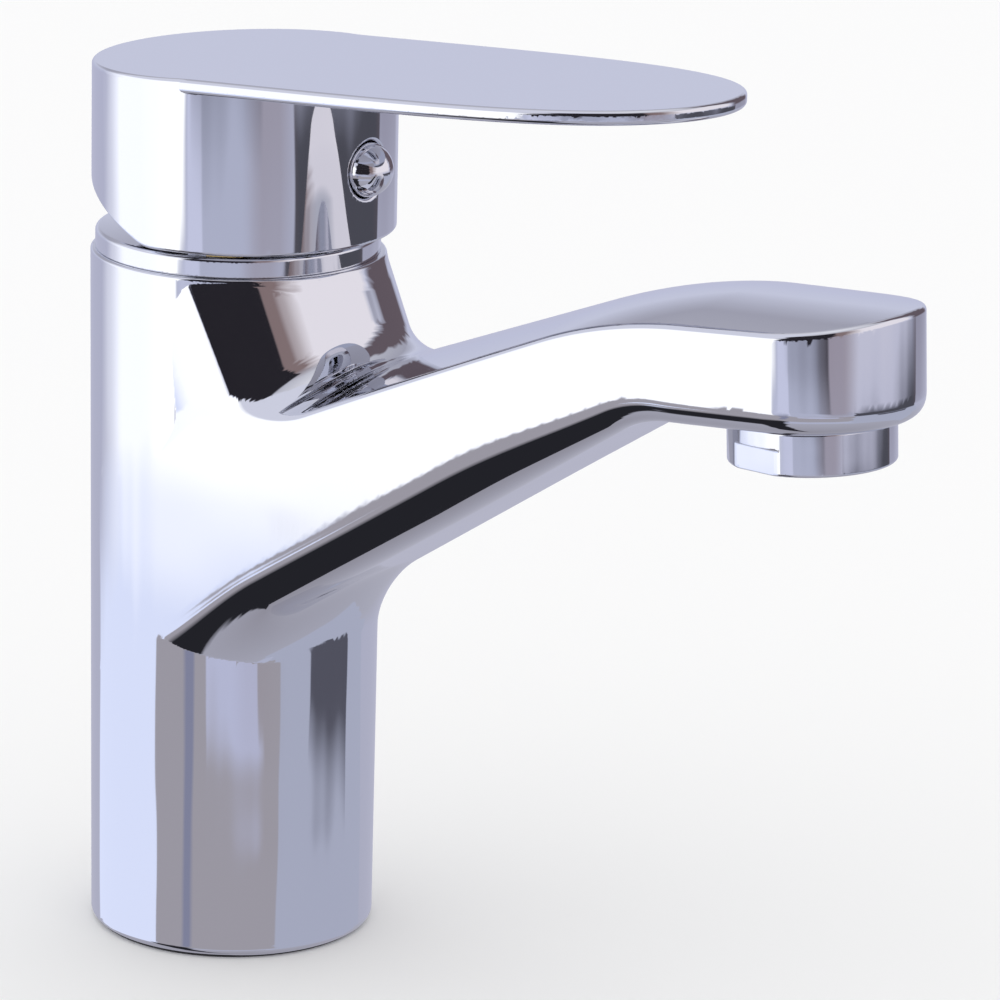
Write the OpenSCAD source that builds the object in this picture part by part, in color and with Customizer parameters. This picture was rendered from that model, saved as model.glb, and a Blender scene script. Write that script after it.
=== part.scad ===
// Single-lever basin mixer: upright round body with a raised wedge spout, a 35 mm
// ceramic cartridge, a screw-in aerator and a flat tongue lever.
// Millimetres. Origin: centre of the base on the deck. +Z up, spout towards -Y.

/* [Body] */
// Radius of the body where it meets the base gasket
body_r_base = 24.2; // [23.8:0.1:24.4]
// Radius of the body at its top face
body_r_top = 24.7; // [24.5:0.1:24.9]
// Height of the body's top face above the deck
body_h = 118.2; // [118.2:0.1:118.4]
// Gap between the body's bottom edge and the deck, filled by the gasket
gasket_stand = 0.4; // [0.3:0.1:0.6]
// Radius of the recess under the base
recess_r = 19; // [18.5:0.1:19.2]
// Height of the recess ceiling above the deck
recess_h = 30; // [28:1:32]

/* [Spout] */
// Distance from the body axis to the outlet axis
reach = 112.9; // [111:0.1:114]
// Radius of the nose seen from above
nose_r = 17.6; // [17.2:0.1:18]
// Height of the nose's underside at the outlet axis
outlet_z = 108; // [107.5:0.1:108.5]
// Forward tilt of the nose and the water jet, in degrees
outlet_tilt = 3; // [2:0.5:4]
// Slope of the ramp on top of the spout, in degrees
ramp_angle = 21.6; // [21:0.1:22.2]
// Slope of the spout's underside, in degrees
under_angle = 33.2; // [32.5:0.1:34]
// Forward lean of the neck between the cover ring and the ramp, in degrees
neck_angle = 23; // [20:1:24]
// Crown radius of the ramp across the spout
ramp_crown_r = 62; // [55:1:80]
// Crown radius of the nose across the spout
nose_crown_r = 110; // [90:1:150]
// Radius of the spout's rounded underside
keel_r = 38; // [34:1:60]
// Half width of the spout where it leaves the body
root_half_w = 23.8; // [23.4:0.1:24]

/* [Lever] */
// Distance from the body axis to the lever's tip
lever_l = 96; // [92:0.5:98]
// Half width of the lever blade beside the body axis
lever_half_w = 25; // [24.6:0.1:25.2]
// Thickness of the blade
blade_t = 2.4; // [2.2:0.1:3]
// Rise of the blade towards its tip, in degrees
blade_rise = 3; // [2:0.5:4]
// Height of the blade's top face over the body axis
blade_z = 151; // [150.5:0.1:152]
// Radius of the lever's round skirt
skirt_r = 25.5; // [25.4:0.1:25.8]
// How far the skirt stands forward of the body axis
skirt_offset = 1.2; // [1:0.1:1.4]
// Height of the skirt's lower edge at the front
skirt_z = 122.4; // [122.3:0.1:122.8]
// Wall of the skirt
skirt_wall = 2.9; // [2.5:0.1:3]
// Slope of the relief under the rear half of the skirt, in degrees
relief_angle = 22.5; // [22:0.5:24]
// Height of the set screw and the index plug
screw_z = 135; // [134.5:0.1:135.5]
// Diameter of the hole for the index plug
plug_d = 9.6; // [9.4:0.1:9.8]

/* [Cartridge] */
// Height of the seat that the cartridge stands on
seat_z = 88; // [87.5:0.1:88.5]
// Radius of the cartridge body
cart_r = 17.4; // [17.3:0.05:17.45]
// Height of the cartridge's shoulder, where the nut clamps it
shoulder_z = 111; // [110.8:0.1:111.2]
// Radius of the cartridge's neck
neck_r = 12.6; // [12.5:0.1:12.7]
// Height of the stem's pivot pin
pivot_z = 120; // [119.8:0.1:120.2]
// Side of the stem's square
stem_side = 8; // [7.6:0.1:8]
// Distance from the pivot pin to the ball of the drive finger
finger_l = 18.2; // [18:0.1:18.4]
// Travel of the discs on either side of the middle
disc_offset = 3.3; // [3:0.1:3.4]

/* [Aerator] */
// Outer radius of the aerator's collar
collar_r = 13.5; // [13.3:0.1:13.7]
// Height of the collar below the nose
collar_h = 7.1; // [6.8:0.1:7.4]
// Radius of the aerator's thread
aerator_thread_r = 11.9; // [11.8:0.05:11.95]
// Depth of the thread in the nose
aerator_thread_l = 9; // [8:0.5:9.5]

/* [Hidden] */
$fn = 96;

// Heights of the cartridge stack
base_plate_t = 3.5;
disc_gasket_t = 0.8;
disc_t = 3;
fixed_disc_r = 13;
gasket_z = seat_z + base_plate_t;
disc_z = gasket_z + disc_gasket_t;
moving_z = disc_z + disc_t + 0.02;
carrier_z = moving_z + disc_t;
carrier_h = 4.9;
cavity_r = 15.2;
cavity_top_z = 104;
neck_bore_r = 10.9;
neck_top_z = 121;
rotor_r = 10.6;
rotor_top_z = 123.5;

// Ports of the cartridge: two inlets and the outlet
inlet_pos = [[-8, 3], [8, 3]];
outlet_pos = [0, -8.5];
port_r = 2.6;

// Nut and cover ring
nut_thread_r = 18.85;
nut_chamber_r = 18.9;
nut_chamber_z = 104;
nut_flange_r = 20.4;
nut_top_z = 121.1;
nut_bore_r = 14.7;
cover_r = 23.9;
cover_top_z = 121.6;

// Screw threads under the base: M10x1 inlets and the M8 stud hole
inlet_thread_r = 4.5;
inlet_thread_l = 14;
stud_thread_r = 3.4;
stud_pos = [0, -9];
stud_thread_l = 18;
water_way_r = 3.4;

// Gasket ring
gasket_ri = 19.9;
gasket_ro = 22.9;
gasket_h = 1.6;

// Running clearances
pin_r = 1.5;
pin_gap = 0.05;
slot_gap = 0.3;

function fillet_arc(a, b, c, r, n = 10) =
    let (u = (a - b) / norm(a - b), v = (c - b) / norm(c - b),
         half = acos(u * v) / 2,
         bis = (u + v) / norm(u + v),
         o = b + bis * r / sin(half),
         p = b + u * r / tan(half),
         q = b + v * r / tan(half),
         t0 = atan2(p[1] - o[1], p[0] - o[0]),
         t1 = atan2(q[1] - o[1], q[0] - o[0]),
         sweep = t1 - t0 > 180 ? t1 - t0 - 360 : t1 - t0 < -180 ? t1 - t0 + 360 : t1 - t0)
    [for (i = [0:n]) o + r * [cos(t0 + sweep * i / n), sin(t0 + sweep * i / n)]];

// Corners are [x, y, radius]; a radius of 0 leaves the corner sharp.
function rounded(corners) =
    let (n = len(corners), at = function (i) [corners[i][0], corners[i][1]])
    [for (i = [0:n - 1]) each corners[i][2] == 0 ? [at(i)]
        : fillet_arc(at((i + n - 1) % n), at(i), at((i + 1) % n), corners[i][2])];

module tube(ro, ri, h) {
    difference() {
        cylinder(r = ro, h = h);
        translate([0, 0, -1]) cylinder(r = ri, h = h + 2);
    }
}

// ---------------------------------------------------------------- spout shape

// Heights that the spout's long surfaces pass, each at its own distance from the body axis.
ramp_foot_r = 31;
ramp_foot_z = 103.1;
under_foot_r = 24;
under_foot_z = 62.8;
nose_top_z = 126.2;

// Plan outline: the nose circle and two lines that touch it and run into the body.
module spout_plan() {
    lean = asin((root_half_w - nose_r) / reach);
    translate([0, -reach]) circle(r = nose_r);
    polygon([
        [root_half_w, 0],
        [nose_r * cos(lean), -reach - nose_r * sin(lean)],
        [-nose_r * cos(lean), -reach - nose_r * sin(lean)],
        [-root_half_w, 0]]);
}

// A long cylinder along the spout's slope. Its top line, or its bottom line for side = -1,
// passes height z at distance r.
module along_spout(r, z, slope, radius, side = 1) {
    translate([0, -r, z]) rotate([-slope, 0, 0]) translate([0, 0, -side * radius])
        rotate([90, 0, 0]) cylinder(r = radius, h = 400, center = true, $fn = 180);
}

module spout_shape() {
    intersection() {
        translate([0, 0, 40]) linear_extrude(100) spout_plan();
        along_spout(ramp_foot_r, ramp_foot_z, ramp_angle, ramp_crown_r);
        along_spout(reach, nose_top_z, outlet_tilt, nose_crown_r);
        union() {
            along_spout(under_foot_r, under_foot_z, under_angle, keel_r, -1);
            at_outlet() translate([-40, -60, 0]) cube([80, 200, 90]);
        }
    }
}

// Leaning wall between the cover ring and the ramp, in front of the body axis.
module neck_shape() {
    foot_z = 92;
    lean_r = root_half_w + 0.4;
    setback = lean_r / cos(neck_angle) - lean_r;
    intersection() {
        translate([0, 0, foot_z]) linear_extrude(body_h - 0.5 - foot_z) spout_plan();
        translate([0, setback, body_h]) rotate([-neck_angle, 0, 0])
            cylinder(r = lean_r, h = 90, center = true);
        translate([0, -50, 100]) cube([80, 100, 60], center = true);
    }
}

module at_outlet() {
    translate([0, -reach, outlet_z]) rotate([-outlet_tilt, 0, 0]) children();
}

// ---------------------------------------------------------------- fixed parts

module body_casting() {
    edge = 1.2;
    drop_foot_z = 75;
    channel_foot_z = 79;
    channel_r = 3;
    channel_angle = 21.5;
    water_room_r = 9.5;
    color("lightgrey") difference() {
        union() {
            rotate_extrude() polygon(rounded([
                [0, gasket_stand, 0],
                [body_r_base, gasket_stand, edge],
                [body_r_top, body_h, 0.6],
                [0, body_h, 0]]));
            spout_shape();
            neck_shape();
        }
        translate([0, 0, -1]) cylinder(r = recess_r, h = recess_h + 1);
        gasket_groove();
        for (p = inlet_pos) translate([p[0], p[1], recess_h - 1]) {
            cylinder(r = inlet_thread_r, h = inlet_thread_l + 1);
            cylinder(r = port_r, h = 80);
        }
        translate([stud_pos[0], stud_pos[1], recess_h - 1])
            cylinder(r = stud_thread_r, h = stud_thread_l + 1);
        translate([0, 0, seat_z]) cylinder(r = cart_r + 0.1, h = 40);
        translate([0, 0, nut_chamber_z]) cylinder(r = nut_chamber_r, h = 40);
        translate([outlet_pos[0], outlet_pos[1], drop_foot_z])
            cylinder(r = water_way_r, h = 22);
        translate([0, outlet_pos[1], channel_foot_z]) rotate([90 - channel_angle, 0, 0])
            cylinder(r = channel_r, h = 108);
        at_outlet() {
            translate([0, 0, -10]) cylinder(r = aerator_thread_r + 0.05, h = aerator_thread_l + 10);
            translate([0, 0, -10]) cylinder(r = water_room_r, h = aerator_thread_l + 13);
        }
    }
}

module gasket_groove() {
    translate([0, 0, -1]) tube(gasket_ro, gasket_ri, gasket_h + 1);
}

module base_gasket() {
    color("#2a2a2c") tube(gasket_ro, gasket_ri, gasket_h);
}

module cover_ring() {
    lip_r = 13.4;
    color("silver") rotate_extrude() polygon(rounded([
        [nut_flange_r + 0.2, body_h, 0],
        [cover_r, body_h, 0.2],
        [cover_r, cover_top_z, 0.7],
        [lip_r, cover_top_z + 0.8, 0],
        [lip_r, nut_top_z + 0.05, 0],
        [nut_flange_r + 0.2, nut_top_z + 0.05, 0]]));
}

module cartridge_nut() {
    notch_n = 6;
    color("#b08d4a") difference() {
        union() {
            translate([0, 0, shoulder_z]) cylinder(r = nut_thread_r, h = body_h - shoulder_z);
            translate([0, 0, body_h]) cylinder(r = nut_flange_r, h = nut_top_z - body_h);
        }
        translate([0, 0, shoulder_z - 1]) cylinder(r = nut_bore_r, h = 20);
        for (i = [0:notch_n - 1]) rotate([0, 0, i * 360 / notch_n])
            translate([nut_flange_r - 1.5, -2, body_h + 0.4]) cube([4, 4, 4]);
    }
}

module cartridge_housing() {
    color("#e8e4d8") difference() {
        union() {
            translate([0, 0, gasket_z]) cylinder(r = cart_r, h = shoulder_z - gasket_z);
            translate([0, 0, shoulder_z]) cylinder(r = neck_r, h = neck_top_z - shoulder_z);
        }
        translate([0, 0, gasket_z - 1]) cylinder(r = cavity_r, h = cavity_top_z - gasket_z + 1);
        translate([0, 0, cavity_top_z - 1]) cylinder(r = neck_bore_r, h = 30);
    }
}

module ports(h, r = port_r) {
    for (p = concat(inlet_pos, [outlet_pos])) translate([p[0], p[1], -1])
        cylinder(r = r, h = h + 2);
}

module cartridge_base() {
    peg_pos = [[-11, -9], [11, -9]];
    seal_seat_r = 3.9;
    color("#3b6ea8") translate([0, 0, seat_z]) difference() {
        cylinder(r = cart_r - 0.1, h = base_plate_t);
        ports(base_plate_t);
        for (p = concat(inlet_pos, [outlet_pos])) translate([p[0], p[1], -1])
            cylinder(r = seal_seat_r, h = 2.4);
        for (p = peg_pos) translate([p[0], p[1], -1]) cylinder(r = 1.2, h = 2.6);
        translate([0, 0, 1]) tube(cart_r + 1, cart_r - 1.5, 1.6);
    }
}

module port_seals() {
    color("#202020") for (p = concat(inlet_pos, [outlet_pos]))
        translate([p[0], p[1], seat_z]) tube(3.8, port_r, 1.4);
}

module cartridge_seal() {
    cord_r = 0.7;
    color("#202020") translate([0, 0, seat_z + 1.8])
        rotate_extrude() translate([cart_r - 0.75, 0]) circle(r = cord_r, $fn = 24);
}

module disc_gasket() {
    color("#303030") translate([0, 0, gasket_z]) difference() {
        cylinder(r = fixed_disc_r, h = disc_gasket_t);
        ports(disc_gasket_t);
    }
}

module fixed_disc() {
    color("ivory") translate([0, 0, disc_z]) difference() {
        cylinder(r = fixed_disc_r, h = disc_t);
        ports(disc_t);
    }
}

module limit_ring() {
    tooth_n = 24;
    ring_z = 117.2;
    ring_r = 14.4;
    ring_h = 3.4;
    tooth_depth = 0.5;
    color("#c0392b") difference() {
        translate([0, 0, ring_z]) tube(ring_r, neck_r + 0.05, ring_h);
        for (i = [0:tooth_n - 1]) rotate([0, 0, i * 360 / tooth_n])
            translate([ring_r - tooth_depth, -0.5, ring_z + 1.4]) cube([2, 1, 4]);
    }
}

// ---------------------------------------------------------------- aerator

insert_r = 10.35;

module aerator_housing() {
    flat_half = 12.7;
    flat_h = 4.2;
    bore_r = 10.4;
    flat_turn = -13;
    color("silver") at_outlet() difference() {
        union() {
            translate([0, 0, -collar_h]) cylinder(r = collar_r, h = collar_h);
            cylinder(r = aerator_thread_r, h = aerator_thread_l - 1.8);
        }
        translate([0, 0, -collar_h - 1]) cylinder(r = bore_r, h = 30);
        rotate([0, 0, flat_turn]) for (s = [-1, 1])
            translate([s * (flat_half + 5), 0, -collar_h + flat_h / 2 - 0.5])
                cube([10, 30, flat_h + 1], center = true);
    }
}

module aerator_seal() {
    color("#202020") at_outlet() translate([0, 0, aerator_thread_l - 1.8])
        tube(11.6, 9.2, 1.8);
}

module aerator_insert() {
    jet_n = 12;
    jet_circle_r = 6.5;
    cup_r = 8.9;
    color("white") at_outlet() translate([0, 0, -3.6]) difference() {
        cylinder(r = insert_r, h = 7.6);
        translate([0, 0, -1]) cylinder(r = cup_r, h = 4);
        translate([0, 0, 5]) cylinder(r = cup_r, h = 4);
        for (i = [0:jet_n - 1]) rotate([0, 0, i * 360 / jet_n])
            translate([jet_circle_r, 0, -1]) cylinder(r = 0.8, h = 12, $fn = 24);
    }
}

module flow_regulator() {
    color("#4a7f4a") at_outlet() translate([0, 0, 4.05]) difference() {
        cylinder(r = 8.6, h = 1.9);
        for (i = [0:5]) rotate([0, 0, i * 60])
            translate([5.2, 0, -1]) cylinder(r = 1.1, h = 4, $fn = 24);
    }
}

module aerator_screen() {
    dome_rise = 2.2;
    rim_r = 9.1;
    dome_r = (rim_r * rim_r + dome_rise * dome_rise) / (2 * dome_rise);
    color("#f0f0f0") at_outlet() translate([0, 0, 6]) difference() {
        union() {
            cylinder(r = rim_r, h = 0.8);
            intersection() {
                translate([0, 0, 0.8 + dome_rise - dome_r]) sphere(r = dome_r);
                translate([0, 0, 0.4]) cylinder(r = rim_r, h = 4);
            }
        }
        translate([0, 0, -0.6 + dome_rise - dome_r]) sphere(r = dome_r);
    }
}

module aerator_grille() {
    pitch = 3.1;
    hole_r = 1.25;
    rings = 2;
    color("#c8c8c8") at_outlet() translate([0, 0, -5.6]) difference() {
        cylinder(r = insert_r, h = 1.9);
        for (i = [-rings:rings], j = [-rings:rings]) if (abs(i + j) <= rings)
            translate([pitch * (i + j / 2), pitch * j * sin(60), -1])
                cylinder(r = hole_r, h = 5, $fn = 24);
    }
}

// ---------------------------------------------------------------- turning parts

finger_slot = 6;

module rotor() {
    slot_x = finger_slot + 2 * slot_gap;
    slot_y = 17.4;
    flange_z = carrier_z + carrier_h + 0.3;
    color("#d9d4c4") difference() {
        translate([0, 0, flange_z]) cylinder(r = rotor_r, h = rotor_top_z - flange_z);
        translate([-slot_x / 2, -slot_y / 2, flange_z - 1]) cube([slot_x, slot_y, 40]);
        translate([0, 0, pivot_z]) rotate([0, 90, 0])
            cylinder(r = pin_r, h = 40, center = true);
    }
}

module pivot_pin() {
    color("silver") translate([0, 0, pivot_z]) rotate([0, 90, 0])
        cylinder(r = pin_r, h = 2 * rotor_r - 2.4, center = true);
}

module moving_disc() {
    moving_disc_r = 9;
    passage_r = 5;
    color("ivory") translate([0, disc_offset, moving_z]) difference() {
        cylinder(r = moving_disc_r, h = disc_t);
        translate([0, 0, -1]) cylinder(r = passage_r, h = 2.6);
    }
}

module disc_carrier() {
    carrier_r = 9.4;
    pocket_r = 2.5;
    pocket_z = 0.8;
    color("#3b6ea8") difference() {
        translate([0, disc_offset, carrier_z]) cylinder(r = carrier_r, h = carrier_h);
        translate([0, 0, carrier_z + pocket_z]) cylinder(r = pocket_r, h = 10);
    }
}

// ---------------------------------------------------------------- lever parts

stem_top_z = 145;
square_z = 126.5;

module stem() {
    plate_y = 8;
    finger_d = 3.6;
    ball_r = 2.2;
    color("#b08d4a") difference() {
        union() {
            translate([-stem_side / 2, -stem_side / 2, square_z])
                cube([stem_side, stem_side, stem_top_z - square_z]);
            translate([-finger_slot / 2, -plate_y / 2, pivot_z - 4])
                cube([finger_slot, plate_y, square_z - pivot_z + 4]);
            translate([0, 0, pivot_z - finger_l]) cylinder(r = finger_d / 2, h = finger_l);
            translate([0, 0, pivot_z - finger_l]) sphere(r = ball_r);
        }
        translate([0, 0, pivot_z]) rotate([0, 90, 0])
            cylinder(r = pin_r + pin_gap, h = 40, center = true);
    }
}

// Half width of the blade at distance r in front of the body axis.
function blade_half(r) = lever_half_w * sqrt(1 - pow(r / lever_l, 5));

module blade_plan() {
    steps = 24;
    side = [for (i = [0:steps]) let (r = lever_l * sin(90 * i / steps)) [blade_half(r), -r]];
    polygon(concat(side, [for (i = [steps - 1:-1:0]) [-side[i][0], side[i][1]]]));
}

module skirt_relief() {
    depth = 20;
    translate([0, 0.5, skirt_z]) rotate([relief_angle, 0, 0]) translate([-40, 0, -depth])
        cube([80, 60, depth]);
}

// Everything below the plane of the blade's top face, moved down by drop.
module under_blade_top(drop) {
    size = [120, 240, 80];
    translate([0, 0, blade_z - drop]) rotate([-blade_rise, 0, 0])
        translate([-size[0] / 2, -size[1] / 2, -size[2]]) cube(size);
}

module lever_shell() {
    intersection() {
        union() {
            difference() {
                translate([0, 0, blade_z - 15]) linear_extrude(30) blade_plan();
                under_blade_top(blade_t);
            }
            translate([0, -skirt_offset, skirt_z]) cylinder(r = skirt_r, h = 45);
        }
        under_blade_top(0);
    }
}

module lever_handle() {
    cavity_z = 146;
    boss_r = 9;
    boss_z = 129;
    socket = stem_side + 0.1;
    screw_boss_r = 6.4;
    front_y = -skirt_offset - skirt_r;
    plug_depth = 6.6;
    color("lightgrey") difference() {
        union() {
            difference() {
                lever_shell();
                translate([0, -skirt_offset, skirt_z - 10])
                    cylinder(r = skirt_r - skirt_wall, h = cavity_z - skirt_z + 10);
            }
            translate([0, 0, boss_z]) cylinder(r = boss_r, h = cavity_z - boss_z + 1);
            translate([0, 0, screw_z]) rotate([90, 0, 0])
                cylinder(r = screw_boss_r, h = -front_y - skirt_wall / 2);
        }
        skirt_relief();
        translate([-socket / 2, -socket / 2, boss_z - 20])
            cube([socket, socket, stem_top_z + 0.4 - boss_z + 20]);
        translate([0, -2, screw_z]) rotate([90, 0, 0]) cylinder(r = 2.5, h = 40);
        translate([0, front_y + plug_depth, screw_z]) rotate([90, 0, 0])
            cylinder(r = plug_d / 2, h = 20);
    }
}

module set_screw() {
    screw_l = 12;
    color("#404040") translate([0, -stem_side / 2 - 0.05, screw_z]) rotate([90, 0, 0])
        difference() {
            cylinder(r = 2.45, h = screw_l);
            translate([0, 0, screw_l - 3]) cylinder(r = 1.44, h = 5, $fn = 6);
        }
}

module index_plug() {
    dome_rise = 3.9;
    shank_l = 6;
    plug_r = plug_d / 2 - 0.2;
    dome_r = (plug_r * plug_r + dome_rise * dome_rise) / (2 * dome_rise);
    front_y = -skirt_offset - skirt_r;
    color("silver") translate([0, front_y + shank_l, screw_z]) rotate([90, 0, 0])
        union() {
            cylinder(r = plug_r, h = shank_l);
            intersection() {
                cylinder(r = plug_r, h = shank_l + dome_rise);
                translate([0, 0, shank_l + dome_rise - dome_r]) sphere(r = dome_r);
            }
        }
}

body_casting();
base_gasket();
cover_ring();
cartridge_nut();
cartridge_housing();
cartridge_base();
limit_ring();
port_seals();
cartridge_seal();
disc_gasket();
fixed_disc();
aerator_housing();
aerator_seal();
flow_regulator();
aerator_insert();
aerator_screen();
aerator_grille();
rotor();
pivot_pin();
moving_disc();
disc_carrier();
stem();
lever_handle();
set_screw();
index_plug();
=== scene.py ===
"""Looks of a single-lever basin mixer: smooth chrome shells and finishes around the CAD frame."""

import math

import bpy
import numpy as np
from mathutils import Matrix, Vector


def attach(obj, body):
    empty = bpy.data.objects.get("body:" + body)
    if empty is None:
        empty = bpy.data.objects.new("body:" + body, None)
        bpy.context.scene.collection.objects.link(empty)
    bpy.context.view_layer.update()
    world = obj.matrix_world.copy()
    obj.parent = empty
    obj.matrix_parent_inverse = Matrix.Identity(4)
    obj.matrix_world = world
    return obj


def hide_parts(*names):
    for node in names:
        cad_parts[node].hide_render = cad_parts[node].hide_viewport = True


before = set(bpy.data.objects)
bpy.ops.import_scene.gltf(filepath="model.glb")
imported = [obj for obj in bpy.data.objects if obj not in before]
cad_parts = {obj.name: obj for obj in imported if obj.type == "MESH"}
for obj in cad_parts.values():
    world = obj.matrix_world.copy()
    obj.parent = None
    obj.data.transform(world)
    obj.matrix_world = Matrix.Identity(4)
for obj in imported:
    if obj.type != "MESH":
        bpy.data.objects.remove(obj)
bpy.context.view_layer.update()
MM = 0.001


# ------------------------------------------------------------------ sizes, in millimetres

# Upright body: a slightly tapered column with a recess below and a cartridge chamber above
BODY_R_BASE = 24.2
BODY_R_TOP = 24.7
BODY_H = 118.2
BODY_FOOT = 0.4
FOOT_EDGE = 1.4
RECESS_R = 19.0
RECESS_H = 30.0
CHAMBER_R = 17.5
CHAMBER_Z = 88.0
NUT_R = 18.9
NUT_Z = 104.0
# Hose holes and stud hole in the recess's roof: x, y, radius, depth
DECK_HOLES = ((-8, 3, 4.5, 14), (8, 3, 4.5, 14), (0, -9, 3.4, 18))
BODY_HIDDEN_R = 22.5

# Spout: r is the distance from the body's axis towards the nose
REACH = 112.9
NOSE_R = 17.6
OUTLET_Z = 108.0
NOSE_TOP_Z = 126.2
NOSE_MID_Z = 117.0
TILT = math.radians(3.0)
RAMP = math.radians(21.6)
UNDER = math.radians(33.2)
NECK = math.radians(23.0)
NECK_DRAW_IN = 0.15
RAMP_R, RAMP_Z = 31.0, 103.1
RAMP_CROWN_R = 62.0
NOSE_CROWN_R = 90.0
RAMP_BLEND = 4.2
NECK_FILLET = 6.5
UNDER_R, UNDER_Z = 24.0, 62.8
UNDER_BLEND = 2.6
UNDER_FILLET = 6.5
UNDER_EDGE_BODY = 9.2
UNDER_EDGE_DROP = 5.0
UNDER_EDGE_POWER = 2.6
TOP_EDGE = 0.9
SHOULDER_FILLET = 1.5
SOCKET_R = 12.0
SOCKET_DEPTH = 9.2
SOCKET_HIDDEN_R = 12.8
SOCKET_HIDDEN_Z = 120.0

# Lever: a flat tongue over a hollow skirt with two bosses inside
LEVER_L = 96.0
LEVER_HALF_W = 25.0
TONGUE_POWER = 5
BLADE_T = 2.4
BLADE_Z = 151.0
BLADE_EDGE = 0.8
BLADE_FILLET = 2.2
SKIRT_R = 25.5
SKIRT_OFFSET = 1.2
SKIRT_Z = 122.4
SKIRT_WALL = 2.9
RELIEF = math.radians(22.5)
CAVITY_TOP_Z = 146.0
STEM_BOSS_R = 9.0
STEM_BOSS_Z = 129.0
STEM_HALF_W = 4.1
STEM_HOLE_TOP_Z = 145.4
SCREW_BOSS_R = 6.4
LEVER_HIDDEN_R = 22.8
LEVER_HIDDEN_Z = 148.3

# Index plug in the front of the skirt
PLUG_Z = 135.0
PLUG_HOLE_R = 4.8
PLUG_HOLE_DEPTH = 6.6
PLUG_R = 4.6
PLUG_DOME_Y = -26.0
PLUG_REAR_Y = -20.7

# Cover ring between the body and the skirt
RING_R = 23.9
RING_Z = 121.6
RING_SLOPE = 0.076
RING_BORE_R = 13.4
RING_UNDER_R = 20.6
RING_UNDER_Z = 121.15

# Aerator collar, in the outlet's own frame, and its threaded neck above z = 0
COLLAR_R = 13.5
COLLAR_H = 7.1
COLLAR_BORE_R = 10.4
COLLAR_MOUTH_Z = -6.3
FLAT_HALF_W = 12.7
FLAT_TOP_Z = -2.9
FLAT_TURN = math.radians(13.0)
THREAD_R = 11.9
THREAD_H = 7.2

# Refinement passes of every shell: the bend in degrees above which an edge is split, and the
# shortest edge that is split
SPLIT_PASSES = ((3, 0.6), (4, 0.3), (6, 0.2))
SETTLE_STEPS = 4


# ------------------------------------------------------------------ sculpting with distance fields

def both(a, b, radius=0.0, power=2.0):
    """Inside a and inside b, the edge between them rounded; a power above 2 eases into the faces."""
    u = np.maximum(a + radius, 0)
    v = np.maximum(b + radius, 0)
    rounded = np.hypot(u, v) if power == 2 else (u ** power + v ** power) ** (1 / power)
    return np.minimum(np.maximum(a, b), -radius) + rounded


def either(a, b, radius=0.0):
    """Inside a or inside b, with a fillet in the corner between them."""
    u = np.maximum(radius - a, 0)
    v = np.maximum(radius - b, 0)
    return np.maximum(np.minimum(a, b), radius) - np.hypot(u, v)


def soft_max(a, b, width):
    """The larger of two heights, blended where they are closer than width."""
    near = np.maximum(width - np.abs(a - b), 0)
    return np.maximum(a, b) + near * near / (4 * width)


def ease(value, start, end):
    """0 before start, 1 after end, smooth between them."""
    t = np.clip((value - start) / (end - start), 0, 1)
    return t * t * (3 - 2 * t)


def tapered_outline(x, r, big, small, length):
    """Distance to the outline of two circles and the lines that touch both; big is at r = 0."""
    x = np.abs(x)
    b = (big - small) / length
    a = np.sqrt(1 - b * b)
    along = a * r - b * x
    rear = np.hypot(x, r) - big
    front = np.hypot(x, r - length) - small
    side = a * x + b * r - big
    return np.where(along < 0, rear, np.where(along > a * length, front, side))


def tilted(y, z, y0, z0, angle):
    """Coordinates across and along an axis that leans forward at its foot by angle."""
    dy, dz = y - y0, z - z0
    return dy * math.cos(angle) - dz * math.sin(angle), dy * math.sin(angle) + dz * math.cos(angle)


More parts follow.
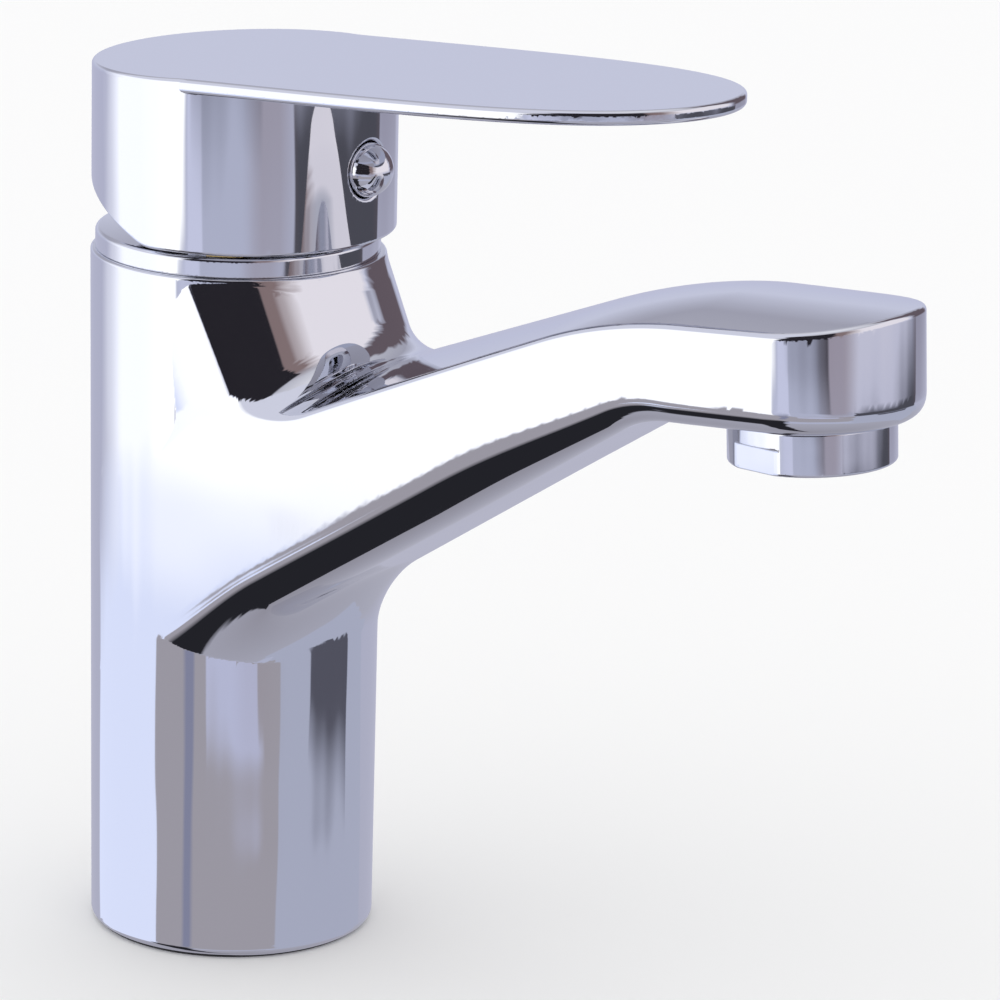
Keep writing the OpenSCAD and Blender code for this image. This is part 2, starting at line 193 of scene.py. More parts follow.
def body_shape(x, y, z):
    """Distance to the cast body with its spout; negative inside."""
    r = -y
    wall_r = BODY_R_BASE + (BODY_R_TOP - BODY_R_BASE) * (z - BODY_FOOT) / (BODY_H - BODY_FOOT)
    radius = np.hypot(x, y)
    column = radius - wall_r
    nose_lean = (z - NOSE_MID_Z) * math.tan(TILT) * ease(r, 50, 95)
    plan = tapered_outline(x, r + nose_lean, wall_r, NOSE_R, REACH)

    ramp_crown = x * x / (2 * (RAMP_CROWN_R + 0.5 * np.maximum(r - RAMP_R, 0)))
    ramp = (z - RAMP_Z - (r - RAMP_R) * math.tan(RAMP) + ramp_crown) * math.cos(RAMP)
    nose_crown = x * x / (2 * NOSE_CROWN_R)
    level = (z - NOSE_TOP_Z - (r - REACH) * math.tan(TILT) + nose_crown) * math.cos(TILT)
    top = soft_max(ramp, level, RAMP_BLEND)

    lean = np.clip(BODY_H - z, 0, 40) * math.tan(NECK)
    neck = (np.hypot(x, r - lean) - BODY_R_TOP + NECK_DRAW_IN) * math.cos(NECK * 0.8)
    cover = either(top, neck, NECK_FILLET)

    under = (UNDER_Z + (r - UNDER_R) * math.tan(UNDER) - z) * math.cos(UNDER)
    outlet = (OUTLET_Z + (r - REACH) * math.tan(TILT) - z) * math.cos(TILT)
    floor = -soft_max(-under, -outlet, UNDER_BLEND)
    floor = either(floor, column, UNDER_FILLET)
    floor_edge = UNDER_EDGE_BODY - UNDER_EDGE_DROP * ease(r, 55, 100)

    spout = both(plan, cover, TOP_EDGE)
    spout = both(spout, floor, floor_edge, UNDER_EDGE_POWER)
    # The fillet between column and spout fades out below the neck, behind it and at its sides
    blend = SHOULDER_FILLET * ease(z, 92, 104) * ease(r, 2, 14) * (1 - ease(np.abs(x), 8, 21))
    shape = either(column, spout, blend)
    # The rim's plane rises in front of the neck, so it leaves the nose whole
    rim = z - BODY_H - 2 * np.maximum(r - 36, 0)
    shape = both(shape, rim, 0.5)
    shape = both(shape, BODY_FOOT - z, FOOT_EDGE)

    recess = both(radius - RECESS_R, z - RECESS_H, 1.0)
    chamber = both(radius - CHAMBER_R, CHAMBER_Z - z, 0.5)
    nut_seat = both(radius - NUT_R, NUT_Z - z, 0.5)
    across, up = tilted(y, z, -REACH, OUTLET_Z, -TILT)
    socket = both(np.hypot(x, across) - SOCKET_R, up - SOCKET_DEPTH, 0.4)
    shape = both(shape, -recess, 0.6)
    shape = both(shape, -either(chamber, nut_seat), 0.4)
    shape = both(shape, -socket, 0.4)
    for hole_x, hole_y, hole_r, depth in DECK_HOLES:
        hole = np.hypot(x - hole_x, y - hole_y) - hole_r
        hole = np.maximum(hole, np.abs(z - RECESS_H) - depth)
        shape = np.maximum(shape, -hole)
    return shape


def body_hidden(x, y, z):
    """Where no one looks: the body's bores and the thread under the nose."""
    in_column = np.hypot(x, y) < BODY_HIDDEN_R
    in_socket = (np.hypot(x, y + REACH) < SOCKET_HIDDEN_R) & (z < SOCKET_HIDDEN_Z)
    return in_column | in_socket


def blade_outline(x, r):
    """Distance to the lever's plan outline: the round skirt and the tongue in front of it."""
    ahead = np.maximum(r, 0) / LEVER_L
    value = (x / LEVER_HALF_W) ** 2 + ahead ** TONGUE_POWER - 1
    along = TONGUE_POWER * ahead ** (TONGUE_POWER - 1) / LEVER_L
    slope = np.hypot(2 * x / LEVER_HALF_W ** 2, along)
    tongue = value / np.maximum(slope, 0.02)
    tongue = np.maximum(tongue, -r - 2)
    skirt = np.hypot(x, r - SKIRT_OFFSET) - SKIRT_R
    return np.minimum(tongue, skirt)


def lever_shape(x, y, z):
    """Distance to the lever with its hollow skirt; negative inside."""
    r = -y
    top = (z - BLADE_Z - r * math.tan(TILT)) * math.cos(TILT)
    sheet = both(blade_outline(x, r), -(top + BLADE_T), BLADE_EDGE)

    wall = np.hypot(x, r - SKIRT_OFFSET) - SKIRT_R
    relief = (SKIRT_Z + (y - 0.5) * math.tan(RELIEF) - z) * math.cos(RELIEF)
    hem = soft_max(SKIRT_Z - z, relief, 0.6)
    skirt = both(wall, hem, 0.5)
    shape = either(skirt, sheet, BLADE_FILLET * ease(r, 14, 24))
    shape = both(shape, top, BLADE_EDGE)

    cavity = both(wall + SKIRT_WALL, z - CAVITY_TOP_Z, 2.0)
    stem_boss = both(np.hypot(x, y) - STEM_BOSS_R, STEM_BOSS_Z - z, 0.8)
    screw_boss = np.maximum(np.hypot(x, z - PLUG_Z) - SCREW_BOSS_R, y)
    cavity = both(cavity, -either(stem_boss, screw_boss, 1.0), 0.8)
    shape = both(shape, -cavity, 0.7)

    plug_hole = np.hypot(x, z - PLUG_Z) - PLUG_HOLE_R
    plug_hole = both(plug_hole, y + SKIRT_OFFSET + SKIRT_R - PLUG_HOLE_DEPTH, 0.3)
    shape = both(shape, -plug_hole, 0.6)
    stem_hole = np.maximum(np.maximum(np.abs(x), np.abs(y)) - STEM_HALF_W, z - STEM_HOLE_TOP_Z)
    return np.maximum(shape, -stem_hole)


def lever_hidden(x, y, z):
    """Where no one looks: the hollow of the skirt."""
    return (np.hypot(x, y + SKIRT_OFFSET) < LEVER_HIDDEN_R) & (z < LEVER_HIDDEN_Z)


def collar_shape(x, y, z):
    """Distance to the aerator's collar and its threaded neck, in the outlet's own frame."""
    radius = np.hypot(x, y)
    collar = both(radius - COLLAR_R, np.abs(z + COLLAR_H / 2) - COLLAR_H / 2, 0.45)
    across = np.abs(x * math.cos(FLAT_TURN) - y * math.sin(FLAT_TURN))
    flat = both(FLAT_HALF_W - across, z - FLAT_TOP_Z, 0.25)
    collar = both(collar, -flat, 0.2)
    neck = np.maximum(radius - THREAD_R, np.abs(z - THREAD_H / 2) - THREAD_H / 2)
    shape = either(collar, neck, 0.3)
    mouth_r = COLLAR_BORE_R + 0.8 * np.maximum(COLLAR_MOUTH_Z - z, 0)
    return both(shape, mouth_r - radius, 0.3)


def plug_shape(x, y, z):
    """Distance to the index plug: a short pin with a half-round head."""
    flat = np.hypot(x, z - PLUG_Z)
    round_head = np.hypot(flat, y - PLUG_DOME_Y)
    return both(np.where(y < PLUG_DOME_Y, round_head, flat) - PLUG_R, y - PLUG_REAR_Y, 0.3)


def ring_shape(x, y, z):
    """Distance to the cover ring: a flat rim with a shallow cone running in under the skirt."""
    radius = np.hypot(x, y)
    cone = z - RING_Z - (RING_R - radius) * RING_SLOPE
    shape = both(radius - RING_R, cone, 0.7)
    shape = both(shape, BODY_H - z, 0.2)
    under = np.maximum(radius - RING_UNDER_R, z - RING_UNDER_Z)
    shape = np.maximum(shape, -under)
    return both(shape, RING_BORE_R - radius, 0.2)


def gradient(shape, points, step=0.02):
    """Slope of a distance field at each point."""
    slopes = []
    for axis in range(3):
        shift = np.zeros(3)
        shift[axis] = step
        ahead = shape(*(points + shift).T)
        behind = shape(*(points - shift).T)
        slopes.append((ahead - behind) / (2 * step))
    return np.stack(slopes, 1)


def net_of_cells(field, low, pitch):
    """Corner points and quads of a closed surface where the sampled field crosses zero."""
    inside = field < 0
    count = inside[:-1, :-1, :-1].astype(np.int8)
    for i, j, k in ((1, 0, 0), (0, 1, 0), (0, 0, 1), (1, 1, 0), (1, 0, 1), (0, 1, 1), (1, 1, 1)):
        nx, ny, nz = (n - 1 for n in field.shape)
        count = count + inside[i:i + nx, j:j + ny, k:k + nz]
    cells = np.argwhere((count > 0) & (count < 8))
    number = np.full(count.shape, -1, np.int64)
    number[tuple(cells.T)] = np.arange(len(cells))

    total = np.zeros((len(cells), 3))
    hits = np.zeros(len(cells))
    corners = [np.array(c) for c in np.ndindex(2, 2, 2)]
    for start in corners:
        for axis in range(3):
            if start[axis]:
                continue
            end = start.copy()
            end[axis] = 1
            f0 = field[tuple((cells + start).T)]
            f1 = field[tuple((cells + end).T)]
            cross = (f0 < 0) != (f1 < 0)
            t = np.where(cross, f0 / np.where(cross, f0 - f1, 1), 0)
            total += np.where(cross[:, None], start + (end - start) * t[:, None], 0)
            hits += cross
    points = low + (cells + total / hits[:, None]) * pitch

    quads = []
    for axis in range(3):
        side = [a for a in range(3) if a != axis]
        lower = [slice(1, n - 1) for n in field.shape]
        lower[axis] = slice(0, field.shape[axis] - 1)
        upper = list(lower)
        upper[axis] = slice(1, field.shape[axis])
        a, b = inside[tuple(lower)], inside[tuple(upper)]
        for enters in (True, False):
            edges = np.argwhere((a != b) & (a == enters))
            edges[:, side] += 1
            ring = []
            for du, dv in ((-1, -1), (0, -1), (0, 0), (-1, 0)):
                cell = edges.copy()
                cell[:, side[0]] += du
                cell[:, side[1]] += dv
                ring.append(number[tuple(cell.T)])
            ring = np.stack(ring, 1)
            outward = enters if axis != 1 else not enters
            quads.append(ring if outward else ring[:, ::-1])
    return points, np.concatenate(quads)


def settle(points, shape, reach):
    """Points moved onto the surface along the field's slope, and the unit normals there."""
    for _ in range(SETTLE_STEPS):
        slope = gradient(shape, points)
        value = shape(*points.T)
        step = value / np.maximum((slope * slope).sum(1), 0.2)
        points = points - np.clip(step, -reach, reach)[:, None] * slope
    normals = gradient(shape, points)
    normals /= np.maximum(np.linalg.norm(normals, axis=1), 1e-6)[:, None]
    return points, normals


def split_curved(points, normals, triangles, shape, hidden, most_bend, shortest):
    """Split each edge in sight that bends more than most_bend degrees, and its triangles to match."""
    edges = np.stack([triangles, np.roll(triangles, -1, 1)], 2).reshape(-1, 2)
    keys, which = np.unique(np.sort(edges, 1), axis=0, return_inverse=True)
    which = which.reshape(-1, 3)
    first, second = keys.T
    straight = (normals[first] * normals[second]).sum(1)
    length = np.linalg.norm(points[first] - points[second], axis=1)
    split = (straight < math.cos(math.radians(most_bend))) & (length > shortest)
    if hidden is not None:
        split &= ~hidden(*points[first].T)
    middle = np.full(len(keys), -1)
    middle[split] = len(points) + np.arange(split.sum())
    added = (points[first[split]] + points[second[split]]) / 2
    added, added_normals = settle(added, shape, shortest)
    points = np.concatenate([points, added])
    normals = np.concatenate([normals, added_normals])

    mid = middle[which]
    marks = mid >= 0
    count = marks.sum(1)
    result = [triangles[count == 0]]
    for start in range(3):
        order = np.roll(np.arange(3), -start)
        tri, m, k = triangles[:, order], mid[:, order], marks[:, order]
        one = (count == 1) & k[:, 0]
        a, b, c = tri[one].T
        ab = m[one, 0]
        result += [np.stack([a, ab, c], 1), np.stack([ab, b, c], 1)]
        two = (count == 2) & ~k[:, 2]
        a, b, c = tri[two].T
        ab, bc = m[two, 0], m[two, 1]
        result += [np.stack([ab, b, bc], 1), np.stack([a, ab, bc], 1), np.stack([a, bc, c], 1)]
    a, b, c = triangles[count == 3].T
    ab, bc, ca = mid[count == 3].T
    result += [np.stack(t, 1) for t in ((a, ab, ca), (ab, b, bc), (ca, bc, c), (ab, bc, ca))]
    return points, normals, np.concatenate(result)


def shell(name, shape, low, high, pitch, hidden=None, place=None):
    """A closed mesh of a distance field, with the field's own slope as its shading normals."""
    low, high = np.array(low, float), np.array(high, float)
    steps = np.ceil((high - low) / pitch).astype(int) + 1
    axes = [low[a] + pitch * np.arange(steps[a]) for a in range(3)]
    grid = np.meshgrid(*axes, indexing="ij", sparse=True)
    field = np.broadcast_to(shape(*grid), steps)
    points, quads = net_of_cells(field, low, pitch)
    points, normals = settle(points, shape, pitch)
    triangles = np.concatenate([quads[:, [0, 1, 2]], quads[:, [0, 2, 3]]])
    for bend, shortest in SPLIT_PASSES:
        points, normals, triangles = split_curved(points, normals, triangles, shape, hidden,
                                                  bend, shortest)
    points = points * MM
    if place is not None:
        turn = np.array(place.to_3x3())
        points = points @ turn.T + np.array(place.translation)
        normals = normals @ turn.T

    mesh = bpy.data.meshes.new(name)
    mesh.vertices.add(len(points))
    mesh.vertices.foreach_set("co", points.astype(np.float32).ravel())
    mesh.loops.add(triangles.size)
    mesh.loops.foreach_set("vertex_index", triangles.astype(np.int32).ravel())
    mesh.polygons.add(len(triangles))
    mesh.polygons.foreach_set("loop_start", np.arange(0, triangles.size, 3, dtype=np.int32))
    mesh.polygons.foreach_set("loop_total", np.full(len(triangles), 3, np.int32))
    mesh.update(calc_edges=True)
    mesh.shade_smooth()
    mesh.normals_split_custom_set_from_vertices([tuple(n) for n in normals])
    obj = bpy.data.objects.new(name, mesh)
    bpy.context.scene.collection.objects.link(obj)
    return obj


OUTLET_PLACE = Matrix.Translation(Vector((0, -REACH, OUTLET_Z)) * MM) @ Matrix.Rotation(-TILT, 4, "X")

body_shell = shell("body_shell", body_shape, (-27, -133, -1), (27, 27, 129), 1.3, body_hidden)
lever_shell = shell("lever_shell", lever_shape, (-27.5, -98, 120), (27.5, 27.5, 158), 0.85, lever_hidden)
collar_shell = shell("aerator_collar", collar_shape, (-14.5, -14.5, -8), (14.5, 14.5, 8), 0.35,
                     place=OUTLET_PLACE)
plug_shell = shell("index_plug_dome", plug_shape, (-6, -32, 129), (6, -19, 141), 0.4)
ring_shell = shell("cover_ring_turned", ring_shape, (-25, -25, 117), (25, 25, 124), 0.5)


# ------------------------------------------------------------------ materials

def new_group(name, inputs, outputs):
    """A shader node group with named sockets: {name: (type, default)} and {name: type}."""
    group = bpy.data.node_groups.new(name, "ShaderNodeTree")
    for label, (kind, default) in inputs.items():
        socket = group.interface.new_socket(label, in_out="INPUT", socket_type=kind)
        socket.default_value = default
    for label, kind in outputs.items():
        group.interface.new_socket(label, in_out="OUTPUT", socket_type=kind)
    return group, group.nodes.new("NodeGroupInput"), group.nodes.new("NodeGroupOutput")


def math_node(tree, operation, a, b=None):
    """A Math node; a and b are sockets or numbers."""
    node = tree.nodes.new("ShaderNodeMath")
    node.operation = operation
    for socket, value in zip(node.inputs, (a, b)):
        if value is None:
            continue
        if isinstance(value, (int, float)):
            socket.default_value = value
        else:
            tree.links.new(value, socket)
    return node.outputs[0]


def noise_node(tree, vector, scale, detail=2.0):
    """The factor of a Noise texture; scale is a socket or a number."""
    node = tree.nodes.new("ShaderNodeTexNoise")
    node.inputs["Detail"].default_value = detail
    tree.links.new(vector, node.inputs["Vector"])
    if isinstance(scale, (int, float)):
        node.inputs["Scale"].default_value = scale
    else:
        tree.links.new(scale, node.inputs["Scale"])
    return node.outputs["Fac"]


def polish_group():
    """Hand-polished metal: slow waves left by the wheel, faint haze and fine scratches."""
    group, given, result = new_group(
        "hand_polish",
        {"Vector": ("NodeSocketVector", (0, 0, 0)), "Wave Scale": ("NodeSocketFloat", 60.0),
         "Haze": ("NodeSocketFloat", 0.03), "Base Roughness": ("NodeSocketFloat", 0.03)},
        {"Roughness": "NodeSocketFloat", "Height": "NodeSocketFloat"})
    vector = given.outputs["Vector"]
    waves = noise_node(group, vector, given.outputs["Wave Scale"], 1.0)
    haze = noise_node(group, vector, 220.0, 3.0)
    stretch = group.nodes.new("ShaderNodeMapping")
    stretch.inputs["Scale"].default_value = (900, 900, 60)
    group.links.new(vector, stretch.inputs["Vector"])
    scratches = noise_node(group, stretch.outputs["Vector"], 1.0, 2.0)
    rise = math_node(group, "MULTIPLY", haze, given.outputs["Haze"])
    rough = math_node(group, "ADD", rise, given.outputs["Base Roughness"])
    fine = math_node(group, "MULTIPLY", scratches, 0.002)
    height = math_node(group, "ADD", waves, fine)
    group.links.new(rough, result.inputs["Roughness"])
    group.links.new(height, result.inputs["Height"])
    return group


def mould_group():
    """Moulded plastic, rubber or ceramic: mottled shade, fine grain and uneven gloss."""
    group, given, result = new_group(
        "moulded_grain",
        {"Vector": ("NodeSocketVector", (0, 0, 0)), "Color": ("NodeSocketColor", (0.5, 0.5, 0.5, 1)),
         "Grain Scale": ("NodeSocketFloat", 1500.0), "Variation": ("NodeSocketFloat", 0.2),
         "Base Roughness": ("NodeSocketFloat", 0.4)},
        {"Color": "NodeSocketColor", "Roughness": "NodeSocketFloat", "Height": "NodeSocketFloat"})
    vector = given.outputs["Vector"]
    grain = noise_node(group, vector, given.outputs["Grain Scale"], 3.0)
    mottle = noise_node(group, vector, 180.0, 2.0)
    offset = math_node(group, "SUBTRACT", mottle, 0.5)
    shade = math_node(group, "MULTIPLY", offset, given.outputs["Variation"])
    value = math_node(group, "ADD", shade, 1.0)
    tint = group.nodes.new("ShaderNodeHueSaturation")
    group.links.new(value, tint.inputs["Value"])
    group.links.new(given.outputs["Color"], tint.inputs["Color"])
    spread = math_node(group, "MULTIPLY", grain, 0.15)
    rough = math_node(group, "ADD", spread, given.outputs["Base Roughness"])
    group.links.new(tint.outputs["Color"], result.inputs["Color"])
    group.links.new(rough, result.inputs["Roughness"])
    group.links.new(grain, result.inputs["Height"])
    return group


def turned_group():
    """Turned or drawn metal: fine rings round the vertical axis, with tarnish between them."""
    group, given, result = new_group(
        "turned_marks",
        {"Vector": ("NodeSocketVector", (0, 0, 0)), "Color": ("NodeSocketColor", (0.5, 0.5, 0.5, 1)),
         "Dark Color": ("NodeSocketColor", (0.3, 0.3, 0.3, 1)),
         "Ring Scale": ("NodeSocketFloat", 2500.0), "Base Roughness": ("NodeSocketFloat", 0.25)},
        {"Color": "NodeSocketColor", "Roughness": "NodeSocketFloat", "Height": "NodeSocketFloat"})
    vector = given.outputs["Vector"]
    split = group.nodes.new("ShaderNodeSeparateXYZ")
    group.links.new(vector, split.inputs[0])
    height = math_node(group, "MULTIPLY", split.outputs["Z"], given.outputs["Ring Scale"])
    rings = math_node(group, "SINE", height)
    tarnish = noise_node(group, vector, 150.0, 4.0)
    mix = group.nodes.new("ShaderNodeMix")
    mix.data_type = "RGBA"
    group.links.new(tarnish, mix.inputs["Factor"])
    group.links.new(given.outputs["Color"], mix.inputs["A"])
    group.links.new(given.outputs["Dark Color"], mix.inputs["B"])
    spread = math_node(group, "MULTIPLY", tarnish, 0.2)
    rough = math_node(group, "ADD", spread, given.outputs["Base Roughness"])
    group.links.new(mix.outputs["Result"], result.inputs["Color"])
    group.links.new(rough, result.inputs["Roughness"])
    group.links.new(rings, result.inputs["Height"])
    return group


POLISH = polish_group()
MOULD = mould_group()
TURNED = turned_group()


def new_material(name, group, values, height_strength, distance, metallic=0.0):
    """A material whose Principled BSDF is driven by one of the groups above."""
    material = bpy.data.materials.new(name)
    material.use_nodes = True
    tree = material.node_tree
    shader = tree.nodes["Principled BSDF"]
    shader.inputs["Metallic"].default_value = metallic
    place = tree.nodes.new("ShaderNodeTexCoord")
    effect = tree.nodes.new("ShaderNodeGroup")
    effect.node_tree = group
    tree.links.new(place.outputs["Object"], effect.inputs["Vector"])
    for label, value in values.items():
        effect.inputs[label].default_value = value
    bump = tree.nodes.new("ShaderNodeBump")
    bump.inputs["Strength"].default_value = height_strength
    bump.inputs["Distance"].default_value = distance
    tree.links.new(effect.outputs["Height"], bump.inputs["Height"])
    tree.links.new(bump.outputs["Normal"], shader.inputs["Normal"])
    tree.links.new(effect.outputs["Roughness"], shader.inputs["Roughness"])
    if "Color" in effect.outputs:
        tree.links.new(effect.outputs["Color"], shader.inputs["Base Color"])
    return material, shader


def chrome(name, waves, haze, rough, depth):
    """Bright chrome plate: near-neutral with a cool cast."""
    values = {"Wave Scale": waves, "Haze": haze, "Base Roughness": rough}
    material, shader = new_material(name, POLISH, values, 1.0, depth, 1.0)
    shader.inputs["Base Color"].default_value = (0.80, 0.81, 0.85, 1)
    return material


def moulded(name, color, rough=0.4, grain=1500.0, variation=0.2):
    """Plastic, rubber or ceramic."""
    values = {"Color": (*color, 1), "Grain Scale": grain, "Variation": variation,
              "Base Roughness": rough}
    return new_material(name, MOULD, values, 0.4, 0.00002)[0]


def turned(name, color, dark, rough):
    """Turned brass or steel."""
    values = {"Color": (*color, 1), "Dark Color": (*dark, 1), "Base Roughness": rough}
    return new_material(name, TURNED, values, 0.3, 0.00001, 1.0)[0]


CHROME_BODY = chrome("chrome_body", 25.0, 0.03, 0.02, 0.00028)
CHROME_LEVER = chrome("chrome_lever", 25.0, 0.03, 0.02, 0.00012)
CHROME_TRIM = chrome("chrome_trim", 120.0, 0.04, 0.04, 0.00002)
BLACK_RUBBER = moulded("black_rubber", (0.02, 0.02, 0.022), 0.55, 2500.0, 0.5)
WHITE_PLASTIC = moulded("white_plastic", (0.82, 0.82, 0.82))
GREY_PLASTIC = moulded("grey_plastic", (0.50, 0.51, 0.54), 0.25)
CREAM_PLASTIC = moulded("cream_plastic", (0.76, 0.73, 0.65))
BLUE_PLASTIC = moulded("blue_plastic", (0.03, 0.12, 0.36))
RED_PLASTIC = moulded("red_plastic", (0.48, 0.03, 0.02))
GREEN_PLASTIC = moulded("green_plastic", (0.05, 0.24, 0.07))
DISC_CERAMIC = moulded("disc_ceramic", (0.86, 0.85, 0.80), 0.15, 3000.0, 0.08)
BRASS = turned("turned_brass", (0.78, 0.57, 0.22), (0.45, 0.30, 0.10), 0.2)
STEEL = turned("turned_steel", (0.58, 0.58, 0.60), (0.35, 0.35, 0.37), 0.25)

CAD_LOOKS = {
    "base_gasket": BLACK_RUBBER, "cartridge_nut": BRASS,
    "cartridge_housing": CREAM_PLASTIC, "cartridge_base": BLUE_PLASTIC, "limit_ring": RED_PLASTIC,
    "port_seals": BLACK_RUBBER, "cartridge_seal": BLACK_RUBBER, "disc_gasket": BLACK_RUBBER,
    "fixed_disc": DISC_CERAMIC, "aerator_seal": BLACK_RUBBER, "flow_regulator": GREEN_PLASTIC,
    "aerator_insert": WHITE_PLASTIC, "aerator_screen": WHITE_PLASTIC, "aerator_grille": GREY_PLASTIC,
    "rotor": CREAM_PLASTIC, "pivot_pin": STEEL, "moving_disc": DISC_CERAMIC,
    "disc_carrier": BLUE_PLASTIC, "stem": BRASS, "set_screw": STEEL,
}
for node_name, look in CAD_LOOKS.items():
    node_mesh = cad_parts[node_name].data
    node_mesh.materials.clear()
    node_mesh.materials.append(look)

SHELLS = (
    (body_shell, "body_casting", "root", "chrome_body", CHROME_BODY),
    (lever_shell, "lever_handle", "lever", "chrome_lever", CHROME_LEVER),
    (collar_shell, "aerator_housing", "root", "chrome_trim", CHROME_TRIM),
    (ring_shell, "cover_ring", "root", "chrome_trim", CHROME_TRIM),
    (plug_shell, "index_plug", "lever", "chrome_trim", CHROME_TRIM),
)
for piece, node_name, body, slot, look in SHELLS:
    piece.data.materials.append(look)
    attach(piece, body)
    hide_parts(node_name)


# ------------------------------------------------------------------ stage

def plain_material(name, color, rough):
    """A floor or backdrop finish."""
    material = bpy.data.materials.new(name)
    material.use_nodes = True
    shader = material.node_tree.nodes["Principled BSDF"]
    shader.inputs["Base Color"].default_value = (*color, 1)
    shader.inputs["Roughness"].default_value = rough
    return material


def make_floor():
    """A pale floor, large enough for a low camera, left out of mirror reflections."""
    half = 6.0
    corners = [(-half, -half, 0), (half, -half, 0), (half, half, 0), (-half, half, 0)]
    mesh = bpy.data.meshes.new("floor")
    mesh.from_pydata(corners, [], [(0, 1, 2, 3)])
    floor = bpy.data.objects.new("floor", mesh)
    bpy.context.scene.collection.objects.link(floor)
    mesh.materials.append(plain_material("pale_floor", (0.9, 0.9, 0.9), 0.8))
    floor.visible_glossy = False


CAMERA_AZIMUTH = math.radians(-56.0)
CAMERA_PITCH = math.radians(15.76)
CAMERA_ROLL = math.radians(1.33)
CAMERA_PLACE = Vector((-0.7449, -0.5565, 0.3371))
CAMERA_LENS = 204.9


def make_camera():
    """Camera at the three-quarter view, a long lens from slightly above."""
    a, e, roll = CAMERA_AZIMUTH, CAMERA_PITCH, CAMERA_ROLL
    back = Vector((math.sin(a) * math.cos(e), -math.cos(a) * math.cos(e), math.sin(e)))
    right = Vector((math.cos(a), math.sin(a), 0))
    up = back.cross(right)
    rolled_right = right * math.cos(roll) + up * math.sin(roll)
    rolled_up = up * math.cos(roll) - right * math.sin(roll)
    data = bpy.data.cameras.new("camera")
    data.sensor_width = 36
    data.lens = CAMERA_LENS
    data.clip_start = 0.01
    camera = bpy.data.objects.new("camera", data)
    turn = Matrix((rolled_right, rolled_up, back)).transposed()
    camera.matrix_world = Matrix.Translation(CAMERA_PLACE) @ turn.to_4x4()
    bpy.context.scene.collection.objects.link(camera)
    bpy.context.scene.camera = camera


def window_group():
    """A soft-edged rectangle on the sky: 1 inside, 0 outside. Angles in degrees."""
    group, given, result = new_group(
        "sky_window",
        {"Azimuth": ("NodeSocketFloat", 0.0), "Elevation": ("NodeSocketFloat", 0.0),
         "Center Az": ("NodeSocketFloat", 0.0), "Half Width": ("NodeSocketFloat", 30.0),
         "Center El": ("NodeSocketFloat", 0.0), "Half Height": ("NodeSocketFloat", 30.0),
         "Softness": ("NodeSocketFloat", 4.0)},
        {"Mask": "NodeSocketFloat"})
    masks = []
    for angle, center, half in (("Azimuth", "Center Az", "Half Width"),
                                ("Elevation", "Center El", "Half Height")):
        away = math_node(group, "SUBTRACT", given.outputs[angle], given.outputs[center])
        if angle == "Azimuth":
            shifted = math_node(group, "ADD", away, 540.0)
            turned_once = math_node(group, "FLOORED_MODULO", shifted, 360.0)
            away = math_node(group, "SUBTRACT", turned_once, 180.0)
        distance = math_node(group, "ABSOLUTE", away)
        inside = math_node(group, "SUBTRACT", given.outputs[half], distance)
        scaled = math_node(group, "DIVIDE", inside, given.outputs["Softness"])
        centred = math_node(group, "ADD", scaled, 0.5)
        clamp = group.nodes.new("ShaderNodeClamp")
        group.links.new(centred, clamp.inputs["Value"])
        masks.append(clamp.outputs["Result"])
    group.links.new(math_node(group, "MULTIPLY", masks[0], masks[1]), result.inputs["Mask"])
    return group


# Light cards and dark flags round the set, each laid over the ones before it: azimuth from the
# camera's side (positive to its right), half width, elevation, half height and edge softness, all
# in degrees, then colour and strength.
CARDS = (
    ("left_softbox", -72, 30, 30, 55, 5, (1.0, 1.0, 1.0), 1.3),
    ("left_falloff", -92, 24, 30, 55, 26, (1.0, 1.02, 1.1), 1.2),
    ("left_ceiling", -76, 44, 56, 38, 8, (0.74, 0.75, 0.86), 1.0),
    ("low_left", -92, 40, -26, 9.6, 2, (0.84, 0.90, 1.12), 1.0),
    ("front_table", 0, 44, -24, 13, 1.5, (0.50, 0.52, 0.66), 1.0),
    ("table_left", -35, 8, -13, 2.0, 2, (0.66, 0.68, 0.86), 1.0),
    ("low_warm", -6, 54, -23, 6.8, 1, (0.40, 0.38, 0.42), 1.0),
    ("low_stripe", -37, 4, -20, 3.8, 3, (0.26, 0.27, 0.38), 1.0),
    ("low_sheet", 3, 24, -17.8, 1.2, 0.8, (0.56, 0.58, 0.76), 1.0),
    ("right_floor", 82, 42, -24, 13, 2, (0.08, 0.08, 0.10), 1.0),
    ("low_right", 84, 46, -28, 11.8, 1, (0.46, 0.48, 0.60), 1.0),
    ("low_wedge", 86, 22, -17.5, 1.1, 1, (0.10, 0.10, 0.13), 1.0),
    ("low_dark", -52, 17, -59, 31, 4, (0.02, 0.02, 0.025), 1.0),
    ("right_softbox", 70, 42, 22.5, 30, 8, (1.0, 0.95, 1.0), 0.92),
    ("warm_wall", 22, 14, 21, 32, 18, (0.26, 0.19, 0.19), 1.0),
    ("dark_room", -12, 28, 21, 32, 3, (0.022, 0.020, 0.026), 1.0),
    ("rear_right_flag", 138, 20, 26, 37, 8, (0.14, 0.11, 0.13), 1.0),
)


# How far the edges of the cards wander, in degrees from side to side and up and down
CRUMPLE_SIDEWAYS = 20.0
CRUMPLE_UPRIGHT = 2.0
# Surroundings behind the cards, from straight down (0) to straight up (1)
SURROUNDINGS = ((0.0, (0.34, 0.33, 0.38)), (0.34, (0.46, 0.46, 0.54)), (0.44, (0.52, 0.53, 0.68)),
                (0.50, (0.56, 0.58, 0.74)), (0.55, (0.62, 0.64, 0.78)), (0.62, (0.40, 0.40, 0.48)),
                (0.80, (0.55, 0.55, 0.62)), (1.0, (0.9, 0.9, 0.95)))


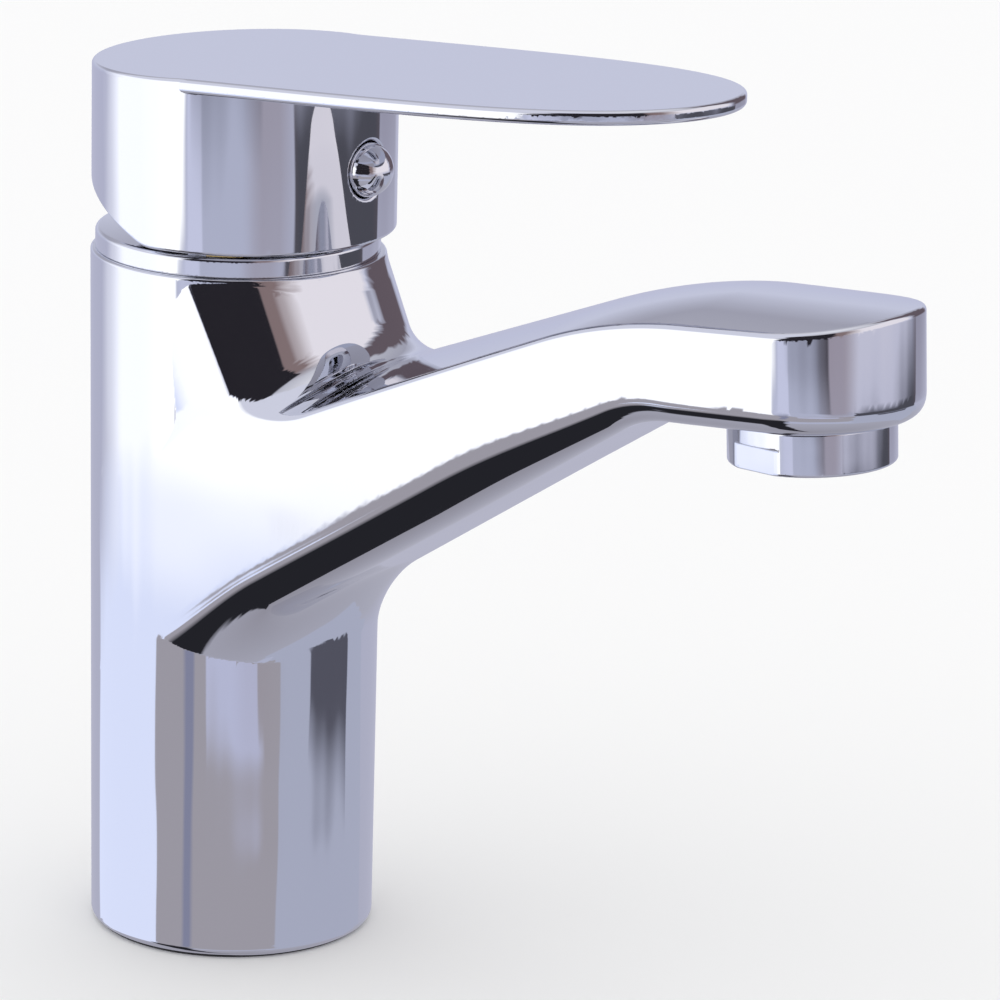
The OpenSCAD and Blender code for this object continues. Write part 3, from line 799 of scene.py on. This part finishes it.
def make_world():
    """Soft studio surroundings: plain white for the view and the fill, cards for reflections."""
    world = bpy.data.worlds.new("studio")
    world.use_nodes = True
    bpy.context.scene.world = world
    tree = world.node_tree
    tree.nodes.clear()
    where = tree.nodes.new("ShaderNodeTexCoord")
    split = tree.nodes.new("ShaderNodeSeparateXYZ")
    tree.links.new(where.outputs["Generated"], split.inputs[0])
    toward = math.atan2(-math.cos(CAMERA_AZIMUTH), math.sin(CAMERA_AZIMUTH))
    heading = math_node(tree, "ARCTAN2", split.outputs["Y"], split.outputs["X"])
    relative = math_node(tree, "SUBTRACT", heading, toward)
    turned_by = math_node(tree, "DEGREES", relative)
    height = math_node(tree, "ARCSINE", split.outputs["Z"])
    raised_by = math_node(tree, "DEGREES", height)
    crumple = tree.nodes.new("ShaderNodeMapping")
    crumple.inputs["Scale"].default_value = (3, 3, 14)
    tree.links.new(where.outputs["Generated"], crumple.inputs["Vector"])
    wobble = noise_node(tree, crumple.outputs["Vector"], 1.0, 1.0)
    centred = math_node(tree, "SUBTRACT", wobble, 0.5)
    sideways = math_node(tree, "MULTIPLY", centred, CRUMPLE_SIDEWAYS)
    upright = math_node(tree, "MULTIPLY", centred, CRUMPLE_UPRIGHT)
    azimuth = math_node(tree, "ADD", turned_by, sideways)
    elevation = math_node(tree, "ADD", raised_by, upright)

    ramp = tree.nodes.new("ShaderNodeValToRGB")
    rise = math_node(tree, "DIVIDE", elevation, 180.0)
    level = math_node(tree, "ADD", rise, 0.5)
    tree.links.new(level, ramp.inputs["Fac"])
    while len(ramp.color_ramp.elements) < len(SURROUNDINGS):
        ramp.color_ramp.elements.new(0.5)
    for element, (position, shade) in zip(ramp.color_ramp.elements, SURROUNDINGS):
        element.position = position
        element.color = (*shade, 1)
    color = ramp.outputs["Color"]

    window = window_group()
    for label, az, half_az, el, half_el, softness, tint, strength in CARDS:
        card = tree.nodes.new("ShaderNodeGroup")
        card.node_tree = window
        card.name = label
        tree.links.new(azimuth, card.inputs["Azimuth"])
        tree.links.new(elevation, card.inputs["Elevation"])
        for socket, value in (("Center Az", az), ("Half Width", half_az), ("Center El", el),
                              ("Half Height", half_el), ("Softness", softness)):
            card.inputs[socket].default_value = value
        mix = tree.nodes.new("ShaderNodeMix")
        mix.data_type = "RGBA"
        mix.clamp_result = False
        tree.links.new(card.outputs["Mask"], mix.inputs["Factor"])
        tree.links.new(color, mix.inputs["A"])
        mix.inputs["B"].default_value = (*(c * strength for c in tint), 1)
        color = mix.outputs["Result"]

    cards = tree.nodes.new("ShaderNodeBackground")
    tree.links.new(color, cards.inputs["Color"])
    plain = tree.nodes.new("ShaderNodeBackground")
    plain.inputs["Color"].default_value = (1, 1, 1, 1)
    plain.inputs["Strength"].default_value = 1.1
    path = tree.nodes.new("ShaderNodeLightPath")
    choose = tree.nodes.new("ShaderNodeMixShader")
    tree.links.new(path.outputs["Is Glossy Ray"], choose.inputs["Fac"])
    tree.links.new(plain.outputs[0], choose.inputs[1])
    tree.links.new(cards.outputs[0], choose.inputs[2])
    output = tree.nodes.new("ShaderNodeOutputWorld")
    tree.links.new(choose.outputs[0], output.inputs["Surface"])
    bpy.context.scene.view_settings.view_transform = "Standard"


make_floor()
make_camera()
make_world()
